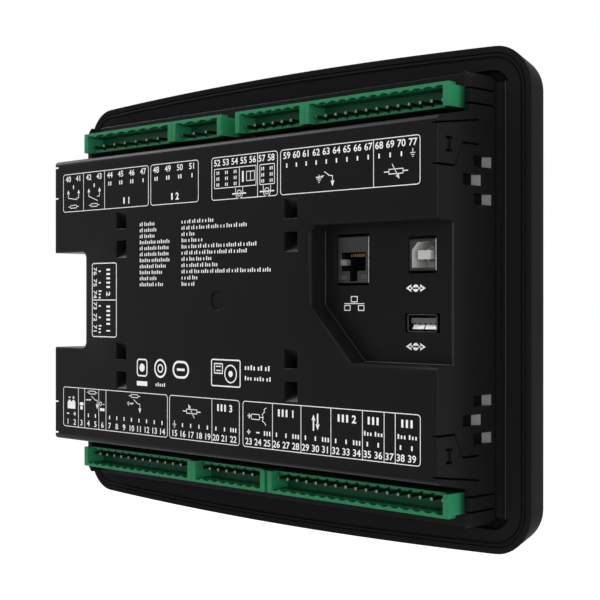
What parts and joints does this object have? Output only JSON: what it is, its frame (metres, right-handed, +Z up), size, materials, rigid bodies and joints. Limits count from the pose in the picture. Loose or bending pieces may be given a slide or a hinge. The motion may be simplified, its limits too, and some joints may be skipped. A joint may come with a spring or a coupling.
{
  "type": "genset controller",
  "caption": "Panel-mount generator controller: bowed bezel with display and push keys in front, black case with green terminal headers and data sockets behind.",
  "frame": {"origin": "middle of the plane in which the rear rim of the bezel meets its panel", "axes": "+X to the right seen from the front, +Y to the rear into the panel, +Z up"},
  "size_m": [0.2504, 0.0484, 0.1818],
  "materials": {
    "bezel_plastic": "fine textured moulding",
    "case_plastic": "fine textured moulding",
    "seal_rubber": "matte",
    "overlay_film": "satin printed film",
    "lens_clear": "clear",
    "display_panel": "liquid crystal panel",
    "frame_white": "satin",
    "board_green": "solder mask",
    "screw_steel": "zinc plated",
    "component_dark": "moulded",
    "lamp_lens": "clear",
    "lamp_body": "satin",
    "relay_case": "moulded",
    "capacitor_sleeve": "sleeve",
    "shell_metal": "tinned sheet",
    "insert_black": "moulded",
    "insert_white": "moulded",
    "contact_gold": "gold plated",
    "header_green": "moulded",
    "pin_tin": "tinned",
    "key_red": "moulded",
    "key_green": "moulded",
    "key_dark": "moulded"
  },
  "bodies": {
    "unit": {"front_bezel": "bezel_plastic", "panel_seal": "seal_rubber", "fascia_overlay": "overlay_film", "display_lens": "lens_clear", "display_glass": "display_panel", "display_frame": "frame_white", "display_board": "board_green", "display_screws": "screw_steel", "key_switches": "component_dark", "indicator_lenses": "lamp_lens", "indicator_leds": "lamp_body", "link_header": "component_dark", "link_socket": "component_dark", "main_board": "board_green", "board_screws": "screw_steel", "relays": "relay_case", "current_sensors": "component_dark", "capacitors": "capacitor_sleeve", "processor": "component_dark", "rear_case": "case_plastic", "network_shell": "shell_metal", "network_insert": "insert_black", "network_contacts": "contact_gold", "service_shell": "shell_metal", "service_insert": "insert_white", "service_contacts": "contact_gold", "host_shell": "shell_metal", "host_insert": "insert_white", "host_contacts": "contact_gold", "header_a": "header_green", "header_b": "header_green", "header_c": "header_green", "header_d": "header_green", "header_e": "header_green", "header_f": "header_green", "header_g": "header_green", "header_h": "header_green", "header_i": "header_green", "pins_a": "pin_tin", "pins_b": "pin_tin", "pins_c": "pin_tin", "pins_d": "pin_tin", "pins_e": "pin_tin", "pins_f": "pin_tin", "pins_g": "pin_tin", "pins_h": "pin_tin", "pins_i": "pin_tin"},
    "stop_key": {"stop_key": "key_red"},
    "manual_key": {"manual_key": "key_dark"},
    "test_key": {"test_key": "key_dark"},
    "auto_key": {"auto_key": "key_dark"},
    "mute_key": {"mute_key": "key_dark"},
    "start_key": {"start_key": "key_green"},
    "right_key": {"right_key": "key_dark"},
    "up_key": {"up_key": "key_dark"},
    "left_key": {"left_key": "key_dark"},
    "down_key": {"down_key": "key_dark"},
    "enter_key": {"enter_key": "key_dark"}
  },
  "joints": [
    {"name": "stop_press", "type": "slide", "parent": "unit", "child": "stop_key", "axis": [0, 1, 0], "range_m": [0, 0.0008], "stiffness_N_per_m": 2500, "springref_m": -0.0004},
    {"name": "manual_press", "type": "slide", "parent": "unit", "child": "manual_key", "axis": [0, 1, 0], "range_m": [0, 0.0008], "stiffness_N_per_m": 2500, "springref_m": -0.0004},
    {"name": "test_press", "type": "slide", "parent": "unit", "child": "test_key", "axis": [0, 1, 0], "range_m": [0, 0.0008], "stiffness_N_per_m": 2500, "springref_m": -0.0004},
    {"name": "auto_press", "type": "slide", "parent": "unit", "child": "auto_key", "axis": [0, 1, 0], "range_m": [0, 0.0008], "stiffness_N_per_m": 2500, "springref_m": -0.0004},
    {"name": "mute_press", "type": "slide", "parent": "unit", "child": "mute_key", "axis": [0, 1, 0], "range_m": [0, 0.0008], "stiffness_N_per_m": 2500, "springref_m": -0.0004},
    {"name": "start_press", "type": "slide", "parent": "unit", "child": "start_key", "axis": [0, 1, 0], "range_m": [0, 0.0008], "stiffness_N_per_m": 2500, "springref_m": -0.0004},
    {"name": "right_press", "type": "slide", "parent": "unit", "child": "right_key", "axis": [0, 1, 0], "range_m": [0, 0.0008], "stiffness_N_per_m": 2500, "springref_m": -0.0004},
    {"name": "up_press", "type": "slide", "parent": "unit", "child": "up_key", "axis": [0, 1, 0], "range_m": [0, 0.0008], "stiffness_N_per_m": 2500, "springref_m": -0.0004},
    {"name": "left_press", "type": "slide", "parent": "unit", "child": "left_key", "axis": [0, 1, 0], "range_m": [0, 0.0008], "stiffness_N_per_m": 2500, "springref_m": -0.0004},
    {"name": "down_press", "type": "slide", "parent": "unit", "child": "down_key", "axis": [0, 1, 0], "range_m": [0, 0.0008], "stiffness_N_per_m": 2500, "springref_m": -0.0004},
    {"name": "enter_press", "type": "slide", "parent": "unit", "child": "enter_key", "axis": [0, 1, 0], "range_m": [0, 0.0008], "stiffness_N_per_m": 2500, "springref_m": -0.0004}
  ]
}
